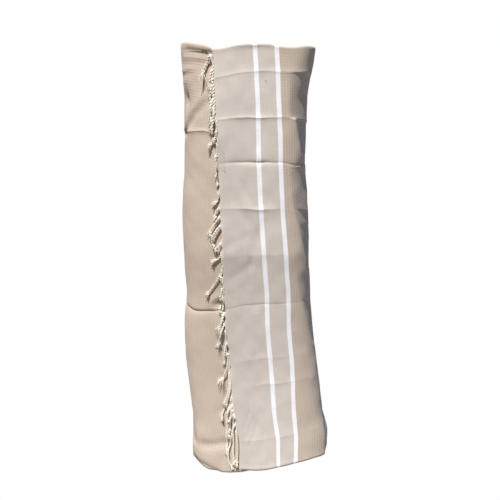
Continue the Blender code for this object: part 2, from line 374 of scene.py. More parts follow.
# %% The creases from packing
# Height of each crease at places round the wrap, a valley being negative, and how sharply the cloth
# falls away above and below it.
Crease = namedtuple("Crease", "row edge middle stripe beyond corner side back left seam above below")
CREASES = (
    Crease(0.060, 0.0009, 0.0010, 0.0014, 0.0012, 0.0010, 0.001, 0.0006, 0.0003, 0.0006, 0.005, 0.004),
    Crease(0.157, 0.0008, 0.0020, 0.0024, 0.0012, 0.0008, 0.0004, 0.0010, 0.0028, 0.0026, 0.004, 0.004),
    Crease(0.256, -0.0006, -0.0022, -0.0030, -0.0012, -0.0018, -0.0006, 0.0008, 0.0, 0.0, 0.004, 0.004),
    Crease(0.361, 0.0004, 0.0022, 0.0036, 0.0006, 0.0006, 0.0006, -0.0008, 0.0, 0.0, 0.010, 0.008),
    Crease(0.466, 0.0003, 0.0006, 0.0010, 0.0006, 0.0004, 0.0006, 0.0008, 0.0, 0.0, 0.014, 0.014),
    Crease(0.584, -0.0004, -0.0008, -0.0010, -0.0008, -0.0004, 0.000, -0.001, -0.0036, -0.0034, 0.002, 0.007),
    Crease(0.724, 0.0002, 0.0008, 0.0010, 0.0008, 0.0004, 0.0, 0.0009, 0.0004, 0.0002, 0.012, 0.010),
    Crease(0.792, 0.0000, 0.0004, 0.0010, 0.0012, 0.0008, 0.0, -0.0009, 0.0, 0.0, 0.008, 0.008),
    Crease(0.925, 0.0004, 0.0010, 0.0006, 0.0010, 0.0004, 0.0, 0.0008, 0.0, 0.0, 0.008, 0.008),
)
CREASE_PLACES = (-30.0, 0.0, 18.0, 36.0, 52.0, 85.0, 170.0, 282.0, 334.0)
CREASE_COLUMNS = ("edge", "middle", "stripe", "beyond", "corner", "side", "back", "left", "seam")

# How much lower than its row a crease lies at those places, as a share of the width, because the cloth
# wasn't wound quite level.
Lean = namedtuple("Lean", "row edge middle stripe beyond corner side back left seam")
LEANS = (
    Lean(0.000, 0.000, 0.000, 0.000, 0.000, 0.000, 0.000, 0.0, 0.000, 0.000),
    Lean(0.060, 0.002, -0.001, -0.003, -0.007, -0.005, 0.000, 0.0, 0.010, 0.006),
    Lean(0.157, -0.003, -0.002, 0.000, -0.006, 0.003, 0.013, 0.0, 0.041, 0.021),
    Lean(0.256, -0.006, -0.003, -0.001, -0.004, 0.008, 0.014, 0.0, 0.034, 0.022),
    Lean(0.361, -0.009, -0.005, -0.001, -0.004, 0.010, 0.014, 0.0, 0.030, 0.018),
    Lean(0.584, 0.007, 0.000, 0.000, 0.001, 0.005, 0.008, 0.0, 0.024, 0.007),
    Lean(0.792, 0.000, -0.005, -0.008, -0.005, -0.004, 0.000, 0.0, 0.010, 0.006),
    Lean(1.000, 0.000, 0.000, 0.000, 0.000, 0.000, 0.000, 0.0, 0.000, 0.000),
)


def crease_lean(turned, row):
    """Share of the width by which a crease lies lower there than its row."""
    columns = [look_up(row, LEANS, name) for name in CREASE_COLUMNS]
    lean = columns[0]
    for low, high, before, after in zip(CREASE_PLACES, CREASE_PLACES[1:], columns, columns[1:]):
        step = ease(turned, low, high)
        lean = lean + step * (after - before)
    return lean


def crease_relief(turned, row):
    """Each crease is a pointed ridge or valley: height times exp(-distance / sharpness)."""
    relief = 0.0
    for crease in CREASES:
        height = np.interp(turned, CREASE_PLACES, [getattr(crease, name) for name in CREASE_COLUMNS])
        down = (row - crease.row) * TOWEL_WIDTH
        fall = np.where(down < 0, crease.above, crease.below)
        relief = relief + height * np.exp(-np.abs(down) / fall)
    return relief


print(len(CREASES), "creases")

# %% The soft folds
# A fold runs from its first place to its second and fades towards the second by the power `fade`. A
# depth below zero makes a ridge.
Fold = namedtuple("Fold", "turned_from below_from turned_to below_to width depth fade")
FOLDS = (
    Fold(325, 0.0268, 290, 0.0205, 0.0034, 0.0064, 0.45),
    Fold(325, 0.0150, 300, 0.0080, 0.0060, -0.0030, 0.5),
    Fold(324, 0.0320, 290, 0.0320, 0.0060, -0.0030, 0.5),
    Fold(322, 0.0430, 288, 0.0470, 0.0060, 0.0020, 0.3),
    Fold(288, 0.0640, 312, 0.0560, 0.0080, -0.0020, 0.5),
    Fold(290, 0.0760, 306, 0.0680, 0.0070, 0.0012, 0.5),
    Fold(288, 0.0900, 312, 0.0800, 0.0080, -0.0016, 0.6),
    Fold(295, 0.1300, 302, 0.1240, 0.0130, 0.0080, 0.5),
    Fold(319, 0.1180, 289, 0.1900, 0.0080, -0.0026, 0.0),
    Fold(322, 0.1320, 292, 0.2000, 0.0090, 0.0020, 0.0),
    Fold(277, 0.2080, 298, 0.2000, 0.0080, 0.0100, 0.7),
    Fold(326, 0.5960, 317, 0.6060, 0.0090, 0.0080, 0.5),
    Fold(324, 0.5780, 314, 0.5960, 0.0050, -0.0030, 0.3),
    Fold(322, 0.7790, 312, 0.7810, 0.0050, 0.0020, 0.5),
    Fold(323, 0.8500, 305, 0.8850, 0.0080, 0.0040, 0.6),
    Fold(323, 0.8680, 309, 0.8920, 0.0070, -0.0025, 0.5),
    Fold(320, 0.9050, 317, 0.9600, 0.0060, 0.0030, 0.2),
    Fold(296, 0.9640, 316, 0.9520, 0.0120, 0.0050, 0.0),
    Fold(284, 1.0080, 306, 1.0290, 0.0070, 0.0060, 0.0),
    Fold(140, 0.1500, 165, 0.5200, 0.0300, 0.0040, 0.0),
    Fold(205, 0.4200, 190, 0.9000, 0.0300, 0.0040, 0.0),
    Fold(-6, 0.3020, 6, 0.3450, 0.0090, 0.0010, 0.0),
    Fold(-14, 0.3300, 12, 0.4300, 0.0140, 0.0013, 0.0),
    Fold(-20, 0.4550, 4, 0.4300, 0.0120, 0.0010, 0.0),
    Fold(20, 0.4050, 4, 0.5000, 0.0140, 0.0012, 0.0),
    Fold(-24, 0.5400, 6, 0.5000, 0.0120, 0.0012, 0.0),
    Fold(-22, 0.9100, -10, 0.8700, 0.0060, 0.0010, 0.0),
    Fold(-20, 0.9350, -6, 0.8850, 0.0060, 0.0010, 0.0),
    Fold(-18, 0.9600, -2, 0.9000, 0.0060, 0.0008, 0.0),
)


def along_line(line, turned, below):
    """Share of the way along a table row's line, metres beside the line, and its length."""
    across, down = (turned - line.turned_from) * METRES_A_DEGREE, below - line.below_from
    span_across = (line.turned_to - line.turned_from) * METRES_A_DEGREE
    span_down = line.below_to - line.below_from
    length = np.hypot(span_across, span_down)
    along = (across * span_across + down * span_down) / length**2
    beside = (across * span_down - down * span_across) / length
    return along, beside, length


def fold_relief(turned, below):
    """Each fold is a rounded trough, -depth times exp(-(distance / width)^2) from its line."""
    relief = 0.0
    for fold in FOLDS:
        along, beside, length = along_line(fold, turned, below)
        within = np.clip(along, 0.0, 1.0)
        away = np.hypot(beside, (along - within) * length)
        relief = relief - fold.depth * (1.0 - within) ** fold.fade * np.exp(-((away / fold.width) ** 2))
    return relief


print(len(FOLDS), "folds, the deepest", max(fold.depth for fold in FOLDS), "m")


# %% Flat facets, where the cloth turns away sharply
# A facet lies between its near line, which runs down the cloth, and `far` degrees. At a `flat` of 1 the
# cloth is drawn straight from one to the other, and above 1 it is hollow.
Facet = namedtuple("Facet", "turned_from below_from turned_to below_to far flat_from flat_to")
FACETS = (
    Facet(84, 0.014, 70, 0.066, 98, 0.8, 1.0),
    Facet(76, 0.066, 82, 0.092, 96, 0.5, 0.2),
    Facet(40, 0.066, 41, 0.120, 68, 0.15, 0.7),
    Facet(41, 0.120, 42, 0.166, 68, 0.7, 0.7),
    Facet(46, 0.166, 54, 0.236, 88, 0.95, 1.15),
    Facet(54, 0.236, 68, 0.262, 90, 1.15, 0.9),
    Facet(43, 0.274, 47, 0.370, 70, 0.15, 0.8),
    Facet(47, 0.370, 52, 0.405, 74, 0.8, 1.0),
    Facet(52, 0.405, 55, 0.442, 80, 1.0, 1.1),
    Facet(55, 0.442, 60, 0.476, 86, 1.1, 1.1),
    Facet(60, 0.476, 69, 0.511, 90, 1.1, 1.0),
    Facet(50, 0.520, 58, 0.584, 80, 0.15, 0.6),
    Facet(58, 0.584, 72, 0.695, 90, 0.6, 1.0),
    Facet(80, 0.872, 74, 0.916, 92, 0.8, 1.05),
    Facet(74, 0.916, 72, 1.000, 92, 1.05, 1.0),
    Facet(285, 0.862, 291, 0.948, 266, 0.3, 0.8),
)
# A facet's upper and lower ends fade in and out over this many metres.
FACET_END = 0.004
# Those ends run lower and lower by FACET_SLANT metres a degree, from SLANT_FROM on, for SLANT_SPAN.
FACET_SLANT = 0.0005
SLANT_FROM, SLANT_SPAN = 45.0, 45.0


def facet_relief(turned, below):
    """From the section to the chord between near line and far place, times how flat the facet is.

    The chord's radius is r1 r2 sin(b - a) / (r1 sin(t - a) + r2 sin(b - t)), t lying between a and b.
    """
    relief = 0.0
    radius = bare_radius(turned, below)
    level = below - FACET_SLANT * np.clip(turned - SLANT_FROM, 0.0, SLANT_SPAN)
    for facet in FACETS:
        along = (level - facet.below_from) / (facet.below_to - facet.below_from)
        within = np.clip(along, 0.0, 1.0)
        near = facet.turned_from + (facet.turned_to - facet.turned_from) * within
        flat = facet.flat_from + (facet.flat_to - facet.flat_from) * within
        place = np.clip((turned - near) / (facet.far - near), 0.0, 1.0)
        start, end = bare_radius(near, below), bare_radius(facet.far + 0.0 * near, below)
        span, gone = np.radians(facet.far - near), np.radians(facet.far - near) * place
        chord = start * end * np.sin(span) / (start * np.sin(gone) + end * np.sin(span - gone))
        reach = (facet.below_to - facet.below_from) / FACET_END
        shown = ease(along * reach, -0.5, 0.5) * ease((1.0 - along) * reach, -0.5, 0.5)
        inside_it = (place > 0.0) & (place < 1.0)
        relief = relief + np.where(inside_it, flat * shown * (chord - radius), 0.0)
    return relief


print(len(FACETS), "facets")


# %% All relief of the turn that shows
# Slow waves that keep the cloth from looking ironed: waves a turn, waves a metre, phase and height.
Wave = namedtuple("Wave", "round down phase height")
WAVES = (
    Wave(5.0, 3.0, 0.4, 0.00035),
    Wave(-7.0, 8.0, 2.1, 0.00025),
    Wave(11.0, 14.0, 1.3, 0.00018),
    Wave(-16.0, 21.0, 4.0, 0.00012),
    Wave(23.0, 9.0, 5.2, 0.00010),
)


def wave_relief(turned, below):
    """The sum of the waves: height times sin(2 pi (round * turns + down * metres) + phase)."""
    relief = 0.0
    for wave in WAVES:
        cycles = wave.round * turned / FULL_TURN + wave.down * below
        relief = relief + wave.height * np.sin(2 * np.pi * cycles + wave.phase)
    return relief


def first_turn_relief(turned, share):
    """Creases, folds, facets and waves of the first turn, in metres outwards."""
    below = metres_below(turned, share)
    row = share - crease_lean(turned, share)
    soft = fold_relief(turned, below) + facet_relief(turned, below) + wave_relief(turned, below)
    return crease_relief(turned, row) + soft


print("Relief at the front's second crease:", round(float(first_turn_relief(0.0, 0.157)), 4), "m")

# %% [markdown]
# ## One function for the whole towel
#
# Inner turns have to lie parallel to the turn that covers them, or they would cut through it. So each
# inner turn takes the relief of the first turn at the same place round the wrap. Just under the outer
# end, the relief changes over 12 degrees from that of the left of the front, which shows, to that of
# the front, which covers it. The outer end itself is never quite flat: its edge curls up off the turn
# below, more in some places than in others, and that is what casts the dark gaps beside the fringe. A
# little way past it, the turns that don't show are tucked in, so that their coarser mesh stays hidden.

# %% The towel's surface
# Degrees over which the relief changes under the outer end, and how far the hidden turns are tucked in.
LAP = 12.0
TUCK = 0.0015
# How far the outer end's edge is lifted, and the metres over which the lift falls away.
CURL_REACH = 0.016
Curl = namedtuple("Curl", "share lift")
CURLS = (
    Curl(0.00, 0.0006),
    Curl(0.06, 0.0012),
    Curl(0.12, 0.0016),
    Curl(0.20, 0.0040),
    Curl(0.26, 0.0016),
    Curl(0.36, 0.0022),
    Curl(0.45, 0.0040),
    Curl(0.54, 0.0026),
    Curl(0.62, 0.0044),
    Curl(0.72, 0.0028),
    Curl(0.84, 0.0046),
    Curl(0.95, 0.0034),
    Curl(1.00, 0.0020),
)


def on_all_turns(rule, turned, share):
    """A first-turn rule, taken over by the turns inside it and blended under the outer end."""
    since = turned - look_up(share, OUTER_ENDS, "turned")
    turns = np.floor(since / FULL_TURN)
    phase = turned - turns * FULL_TURN
    lap = np.where(turns < 1, 1.0, ease(since - turns * FULL_TURN, 0.0, LAP))
    return lap * rule(phase, share) + (1.0 - lap) * rule(phase + FULL_TURN, share)


def outer_edge(share):
    """Metres along the cloth at which its outer end is cut."""
    return look_up(share, OUTER_ENDS, "wander")


def curl_at(length, share):
    """Lift of the outer end off the turn below: its table's lift times exp(-distance / reach)."""
    away = np.maximum(length - outer_edge(share), 0.0)
    return look_up(share, CURLS, "lift") * np.exp(-away / CURL_REACH)


def surface(length, share, raised=0.0):
    """The point of the towel at metres along it and share of its width, raised metres outwards."""
    length, share = np.broadcast_arrays(np.asarray(length, float), np.asarray(share, float))
    drift = look_up(share, DRIFTS, "shift") * np.exp(-(((length - DRIFT_AT) / DRIFT_REACH) ** 2))
    turned = turned_at(length + drift, share)
    relief = on_all_turns(first_turn_relief, turned, share)
    since = turned - look_up(share, OUTER_ENDS, "turned")
    tucked = TUCK * ease(since, FULL_TURN + LAP, FULL_TURN + 4 * LAP)
    return wrap_point(turned, share, relief + curl_at(length, share) - tucked + raised)


# Metres along the towel between which each white stripe lies.
STRIPES = ((0.0885, 0.0987), (0.1375, 0.1477))
print("Left edge of the first stripe at half height:", np.round(surface(STRIPES[0][0], 0.5), 3))

# %% [markdown]
# ## The cloth
#
# The sheet could be a subdivided plane that a Simple Deform modifier rolls up, but a roll made that way
# can't follow the outline or the folds. Here its vertices are the surface function on a grid. Columns
# run down the cloth and rows run along it. Rows are close together beside each crease, where 2 mm
# matter, and wider between. The hidden turns get few columns, apart from those with the inner end's
# stripes, which lie close behind the folds at the upper left. A narrow hem at the top and bottom edges
# stands 0.3 mm proud. The Solidify modifier then gives the sheet its thickness, inwards.

# %% Rows and columns of the cloth
HEM_WIDTH = 0.009
HEM_LIFT = 0.0003
# Half the width of the slope from the hem's lift down to the cloth.
HEM_SLOPE = 0.001
# Metres from a crease at which it gets rows to each side, and the widest gap between other rows.
CREASE_ROWS = np.array([0.0, 0.0014, 0.0032, 0.0060, 0.0100, 0.0150])
WIDEST_ROW = 0.0070
# Metres along the cloth over which the columns take up the wavy cut of the outer end.
WANDER_REACH = 0.05
# Metres along the cloth, and the width of the columns up to there.
ColumnRun = namedtuple("ColumnRun", "end width")
COLUMN_RUNS = (
    ColumnRun(0.30, 0.0036),
    ColumnRun(0.68, 0.0120),
    ColumnRun(0.90, 0.0036),
    ColumnRun(1.62, 0.0300),
    ColumnRun(1.80, 0.0060),
    ColumnRun(TOWEL_LENGTH, 0.0200),
)


def cloth_rows():
    """Shares of the width: the edges and hems, rows beside each crease, and even rows in the gaps."""
    beside = np.concatenate([-CREASE_ROWS[:0:-1], CREASE_ROWS]) / TOWEL_WIDTH
    hem = HEM_WIDTH / TOWEL_WIDTH
    known = [0.0, 0.5 * hem, hem - HEM_SLOPE, hem + HEM_SLOPE]
    known += [1.0 - share for share in known]
    known += [crease.row + offset for crease in CREASES for offset in beside]
    known = np.sort(np.array(known))
    rows = [known[:1]]
    for low, high in zip(known[:-1], known[1:]):
        pieces = max(1, int(np.ceil((high - low) / WIDEST_ROW)))
        rows.append(np.linspace(low, high, pieces + 1)[1:])
    return np.concatenate(rows)


def cloth_columns():
    """Metres along the cloth: even columns within each run."""
    columns, start = [np.zeros(1)], 0.0
    for run in COLUMN_RUNS:
        count = round((run.end - start) / run.width)
        columns.append(np.linspace(start, run.end, count + 1)[1:])
        start = run.end
    return np.concatenate(columns)


print("Grid:", len(cloth_columns()), "columns and", len(cloth_rows()), "rows")


# %% The sheet
def add_object(name, data):
    """A new object in the scene, holding the given mesh, lamp or camera."""
    piece = bpy.data.objects.new(name, data)
    bpy.context.scene.collection.objects.link(piece)
    return piece


def grid_faces(columns, rows):
    """Quads of a grid whose vertices are numbered down each column, facing outwards."""
    corner = np.arange((columns - 1) * rows).reshape(columns - 1, rows)[:, :-1]
    return np.stack([corner + 1, corner + rows + 1, corner + rows, corner], axis=-1).reshape(-1, 4)


def make_cloth():
    """The towel's sheet, with a UV map in metres along and across the cloth."""
    run, row = np.meshgrid(cloth_columns(), cloth_rows(), indexing="ij")
    length = run + outer_edge(row) * np.exp(-run / WANDER_REACH)
    share = row + on_all_turns(crease_lean, turned_at(length, row), row)
    across = share * TOWEL_WIDTH
    from_side = np.minimum(across, TOWEL_WIDTH - across)
    on_hem = 1.0 - ease(from_side, HEM_WIDTH - HEM_SLOPE, HEM_WIDTH + HEM_SLOPE)
    points = surface(length, share, HEM_LIFT * on_hem)
    faces = grid_faces(*run.shape)
    mesh = bpy.data.meshes.new("towel_sheet")
    mesh.from_pydata(points.reshape(-1, 3).tolist(), [], faces.tolist())
    flat = np.stack([length, across], axis=-1).reshape(-1, 2)
    mesh.uv_layers.new(name="weave").data.foreach_set("uv", flat[faces.ravel()].ravel())
    mesh.shade_smooth()
    piece = add_object("towel_sheet", mesh)
    thickness = piece.modifiers.new("thickness", "SOLIDIFY")
    thickness.thickness = CLOTH_THICKNESS
    thickness.offset = -1.0
    print("Cloth:", 4 * len(faces), "triangles, without its rim")
    return piece


cloth = make_cloth()

# %% [markdown]
# ## Effects of woven cotton, as node groups
#
# Woven cotton shows three effects: the slubs of uneven yarn, the fine over-and-under of plain weave,
# and the pits of honeycomb weave. Each is a node group with named sockets, so that any cloth can have
# it with its own values. They all read the UV map in metres, so a thread stays the same size wherever
# the cloth goes. Groups give out only shades, heights and masks. The shader itself stays in the material.


# %% A short way to write node trees
def link_value(tree, socket, value):
    """Join a socket to another node's output, or set it to a plain value."""
    if isinstance(value, bpy.types.NodeSocket):
        tree.links.new(value, socket)
    else:
        socket.default_value = value


def add_node(tree, kind, inputs, **settings):
    """A new node with its settings made, and its inputs, by name or number, linked or set."""
    node = tree.nodes.new("ShaderNode" + kind)
    for name, value in settings.items():
        setattr(node, name, value)
    for name, value in inputs.items():
        link_value(tree, node.inputs[name], value)
    return node


def math(tree, operation, *values):
    """A Math node on the given values; returns its output."""
    return add_node(tree, "Math", dict(enumerate(values)), operation=operation).outputs[0]


def vary(tree, value, contrast):
    """A factor near 1, from a value near 1/2: 1 + contrast * (value - 1/2)."""
    return math(tree, "MULTIPLY_ADD", value, contrast, 1.0 - 0.5 * contrast)


def blend_colours(tree, share, first, second):
    """A Mix node from the first colour to the second; returns its colour output."""
    return add_node(tree, "Mix", {"Factor": share, 6: first, 7: second}, data_type="RGBA").outputs[2]


def noise(tree, vector, scale, detail):
    """A Noise Texture read at a vector; returns its value, which is near 0.5 on average."""
    inputs = {"Vector": vector, "Scale": scale, "Detail": detail}
    return add_node(tree, "TexNoise", inputs).outputs["Fac"]


def smooth_step(tree, value, low, high):
    """0 at low and 1 at high, turning smoothly between."""
    inputs = {"Value": value, "From Min": low, "From Max": high}
    return add_node(tree, "MapRange", inputs, interpolation_type="SMOOTHSTEP").outputs[0]


def stretch(tree, vector, scale):
    """A Mapping node that scales a pattern by different amounts along its axes."""
    return add_node(tree, "Mapping", {"Vector": vector, "Scale": scale}).outputs[0]


def separate(tree, vector):
    """The first two parts of a vector."""
    return add_node(tree, "SeparateXYZ", {0: vector}).outputs[:2]


def bump(tree, shader, height, strength, distance):
    """A Bump node from a height to the shader's normal."""
    node = add_node(tree, "Bump", {"Strength": strength, "Distance": distance, "Height": height})
    link_value(tree, shader.inputs["Normal"], node.outputs[0])


def new_group(name, inputs, outputs):
    """An empty node group with float or vector inputs and float outputs; returns tree and end nodes."""
    tree = bpy.data.node_groups.new(name, "ShaderNodeTree")
    for label, kind, value in inputs:
        socket = tree.interface.new_socket(label, in_out="INPUT", socket_type=kind)
        if value is not None:
            socket.default_value = value
    for label in outputs:
        tree.interface.new_socket(label, in_out="OUTPUT", socket_type="NodeSocketFloat")
    print("Node group:", name)
    return tree, tree.nodes.new("NodeGroupInput"), tree.nodes.new("NodeGroupOutput")


def use_group(tree, group, **values):
    """Place a group in a material with its own values; words in a name are joined by underscores."""
    inputs = {name.replace("_", " "): value for name, value in values.items()}
    return add_node(tree, "Group", inputs, node_tree=group)


print("Nodes are written for Blender 4.5; this is", bpy.app.version_string)


# %% Slubs: uneven yarn along and across the cloth
# How much the noise is squeezed along one axis, which draws its spots out to streaks.
DRAWN_OUT = 0.03


def make_slub_group():
    """Noise drawn out along the warp plus noise drawn out along the weft, halved to about 0.5."""
    inputs = [("Vector", "NodeSocketVector", None), ("Yarn", "NodeSocketFloat", 0.001)]
    tree, start, end = new_group("slub_yarn", inputs, ["Shade"])
    scale = math(tree, "DIVIDE", 1.0, start.outputs["Yarn"])
    drawn = ((DRAWN_OUT, 1.0, 1.0), (1.0, DRAWN_OUT, 1.0))
    shades = [noise(tree, stretch(tree, start.outputs["Vector"], axes), scale, 1.0) for axes in drawn]
    half = math(tree, "MULTIPLY", math(tree, "ADD", *shades), 0.5)
    tree.links.new(half, end.inputs["Shade"])
    return tree


slub_group = make_slub_group()


# %% Plain weave: every thread over one and under one
def make_plain_group():
    """Height of plain weave: sin(pi u / thread) * sin(pi v / thread), brought to between 0 and 1."""
    inputs = [("Vector", "NodeSocketVector", None), ("Thread", "NodeSocketFloat", 0.0008)]
    tree, start, end = new_group("plain_weave", inputs, ["Height"])
    turn = math(tree, "DIVIDE", np.pi, start.outputs["Thread"])
    axes = separate(tree, start.outputs["Vector"])
    waves = [math(tree, "SINE", math(tree, "MULTIPLY", axis, turn)) for axis in axes]
    height = math(tree, "MULTIPLY_ADD", math(tree, "MULTIPLY", *waves), 0.5, 0.5)
    tree.links.new(height, end.inputs["Height"])
    return tree


plain_group = make_plain_group()


# %% Honeycomb weave: square pits between raised floats
def make_honeycomb_group():
    """Height of honeycomb: the larger of two triangle waves, 1 on a cell's walls and 0 in its pit.

    The walls that run along the cloth are lower, by the factor `Low walls`.
    """
    inputs = [("Vector", "NodeSocketVector", None), ("Cell", "NodeSocketFloat", 0.005)]
    inputs.append(("Low walls", "NodeSocketFloat", 1.0))
    tree, start, end = new_group("honeycomb_weave", inputs, ["Height", "Pit"])
    walls = []
    for axis in separate(tree, start.outputs["Vector"]):
        place = math(tree, "FRACT", math(tree, "DIVIDE", axis, start.outputs["Cell"]))
        wall = math(tree, "MULTIPLY", math(tree, "ABSOLUTE", math(tree, "SUBTRACT", place, 0.5)), 2.0)
        walls.append(wall)
    lower = math(tree, "MULTIPLY", walls[1], start.outputs["Low walls"])
    height = math(tree, "MAXIMUM", walls[0], lower)
    tree.links.new(height, end.inputs["Height"])
    # The Pit mask is where the cloth's material paints shade into the pits.
    tree.links.new(math(tree, "SUBTRACT", 1.0, height), end.inputs["Pit"])
    return tree


honeycomb_group = make_honeycomb_group()

# %% [markdown]
# ## The cloth's finish
#
# Each end of the towel starts with 0.15 m of fine plain weave, crossed by two white stripes 10 mm wide,
# and the field between the ends is honeycomb weave in a warmer tan. The zones are masks worked out
# from the UV map's first number, which is metres along the towel. Because both ends are alike, the
# distance to the nearer end is used. The two weaves also differ in their bump, and a slow noise in it
# leaves all of the cloth a little crumpled.

# %% Colours and sizes of the weave
# Metres over which a stripe's edge is soft.
SOFT_EDGE = 0.0004
PLAIN_COLOUR = (0.632, 0.570, 0.518, 1.0)
HONEYCOMB_COLOUR = (0.622, 0.512, 0.425, 1.0)
# Painted shade: the honeycomb's pits get this darker colour in place of the shade that falls in them.
PIT_SHADE_COLOUR = (0.535, 0.435, 0.354, 1.0)
STRIPE_COLOUR = (0.945, 0.935, 0.970, 1.0)
HONEYCOMB_CELL, LOW_WALLS = 0.0062, 0.75
THREAD, SLUB_YARN = 0.0008, 0.0016
# How strongly slubs and large, faint clouds change the colour, and how many clouds there are a metre.
SLUB_CONTRAST, CLOUD_CONTRAST, CLOUD_SCALE = 0.22, 0.06, 14.0
# Heights in the bump, as shares of the honeycomb's, and the crumples' number a metre.
THREAD_BUMP, SLUB_BUMP, CRUMPLE_BUMP, CRUMPLE_SCALE = 0.12, 0.25, 1.6, 30.0
# The bump's strength and its height in metres.
CLOTH_BUMP = (0.6, 0.0009)
CLOTH_FINISH = {"Roughness": 0.92, "Sheen Weight": 0.10, "Sheen Roughness": 0.6}
print("Honeycomb cells are", 1000 * HONEYCOMB_CELL, "mm wide")


# %% The cloth's material
def inside(tree, value, low, high):
    """Mask that is 1 where low < value < high, with soft edges."""
    away = math(tree, "ABSOLUTE", math(tree, "SUBTRACT", value, 0.5 * (low + high)))
    half = 0.5 * (high - low)
    return smooth_step(tree, away, half + SOFT_EDGE, half - SOFT_EDGE)


def new_material(name, uv_map, finish):
    """A material with the finish on its Principled shader; returns it, its tree, shader and UV map."""
    material = bpy.data.materials.new(name)
    material.use_nodes = True
    tree = material.node_tree
    shader = tree.nodes["Principled BSDF"]
    for socket, value in finish.items():
        shader.inputs[socket].default_value = value
    return material, tree, shader, add_node(tree, "UVMap", {}, uv_map=uv_map).outputs[0]


def make_cloth_material():
    """Plain and honeycomb cotton with stripes and hems, and painted shade in the honeycomb's pits."""
    material, tree, shader, flat = new_material("woven_cotton", "weave", CLOTH_FINISH)
    along, across = separate(tree, flat)
    from_end = math(tree, "MINIMUM", along, math(tree, "SUBTRACT", TOWEL_LENGTH, along))
    from_side = math(tree, "MINIMUM", across, math(tree, "SUBTRACT", TOWEL_WIDTH, across))
    stripes = math(tree, "MAXIMUM", *[inside(tree, from_end, low, high) for low, high in STRIPES])
    field = math(tree, "GREATER_THAN", from_end, STRIPES[1][1])
    off_hem = math(tree, "GREATER_THAN", from_side, HEM_WIDTH)
    pitted = math(tree, "MULTIPLY", field, off_hem)
    weave = use_group(tree, honeycomb_group, Vector=flat, Cell=HONEYCOMB_CELL, Low_walls=LOW_WALLS)
    fine = use_group(tree, plain_group, Vector=flat, Thread=THREAD)
    slubs = use_group(tree, slub_group, Vector=flat, Yarn=SLUB_YARN).outputs["Shade"]
    # Painted shade: the honeycomb's colour darkens in its pits, where shade falls.
    tan = blend_colours(tree, weave.outputs["Pit"], HONEYCOMB_COLOUR, PIT_SHADE_COLOUR)
    ground = blend_colours(tree, field, PLAIN_COLOUR, tan)
    colour = blend_colours(tree, stripes, ground, STRIPE_COLOUR)
    uneven = vary(tree, slubs, SLUB_CONTRAST)
    cloudy = vary(tree, noise(tree, flat, CLOUD_SCALE, 3.0), CLOUD_CONTRAST)
    shade = math(tree, "MULTIPLY", uneven, cloudy)
    shaded = add_node(tree, "VectorMath", {0: colour, "Scale": shade}, operation="SCALE")
    link_value(tree, shader.inputs["Base Color"], shaded.outputs[0])
    height = math(tree, "MULTIPLY", weave.outputs["Height"], pitted)
    crumples = noise(tree, flat, CRUMPLE_SCALE, 3.0)
    layers = ((fine.outputs["Height"], THREAD_BUMP), (slubs, SLUB_BUMP), (crumples, CRUMPLE_BUMP))
    for layer, share in layers:
        height = math(tree, "MULTIPLY_ADD", layer, share, height)
    bump(tree, shader, height, *CLOTH_BUMP)
    return material


cloth.data.materials.append(make_cloth_material())
print("Cloth finish:", cloth.data.materials[0].name)

# %% [markdown]
# ## The fringe
#
# On the real towel the warp's ends are gathered over about 2 cm of the edge, twisted into a cord of two
# plies, knotted, and left as a tuft below the knot. As the edge stands upright here, each tassel
# leaves it sideways and hangs down beside it, over the turn below. A hair system could make this, but
# its strands don't know of knots. Instead every yarn is a tube, a ring of points carried along a path,
# and all paths of one kind are worked out together as arrays: tassel by tassel, point by point.


# %% Tubes carried along many paths at once
def unit(vectors):
    """The same vectors at length 1."""
    return vectors / np.maximum(np.linalg.norm(vectors, axis=-1, keepdims=True), 1e-9)


def arms(paths, outward):
    """Two directions square to each path: outward less its part along the path, and their cross."""
    along = unit(np.gradient(paths, axis=-2))
    first = unit(outward - np.sum(outward * along, axis=-1, keepdims=True) * along)
    return first, np.cross(along, first)


def tubes(paths, radius, outward, sides):
    """Rings of points round paths: point + radius * (cos a * first arm + sin a * second arm).

    Paths are (tubes, points, 3) and radius is (tubes, points). Returns vertices, quads, caps and the
    UV of each face corner: metres along the tube, and turns round it.
    """
    count, points = paths.shape[:2]
    first, second = arms(paths, outward)
    angle = 2 * np.pi * np.arange(sides)[:, None] / sides
    ring = np.cos(angle) * first[:, :, None] + np.sin(angle) * second[:, :, None]
    vertices = (paths[:, :, None] + radius[:, :, None, None] * ring).reshape(-1, 3)
    number = np.arange(count * points * sides).reshape(count, points, sides)
    beside = np.roll(number, -1, axis=2)
    quads = np.stack([number[:, :-1], beside[:, :-1], beside[:, 1:], number[:, 1:]], axis=-1)
    caps = np.concatenate([number[:, 0, ::-1], number[:, -1]])
    step = np.linalg.norm(np.diff(paths, axis=1), axis=-1)
    run = np.concatenate([np.zeros((count, 1)), np.cumsum(step, axis=1)], axis=1)
    low, high = (np.repeat(part[:, :, None], sides, axis=2) for part in (run[:, :-1], run[:, 1:]))
    turn = np.broadcast_to(np.arange(sides) / sides, low.shape)
    corners = [(low, turn), (low, turn + 1 / sides), (high, turn + 1 / sides), (high, turn)]
    quad_uv = np.stack([np.stack(corner, axis=-1) for corner in corners], axis=-2)
    cap_run = np.concatenate([run[:, 0], run[:, -1]])
    cap_uv = np.stack([np.repeat(cap_run, sides), np.full(2 * count * sides, 0.5)], axis=-1)
    return vertices, quads.reshape(-1, 4), caps, quad_uv.reshape(-1, 2), cap_uv


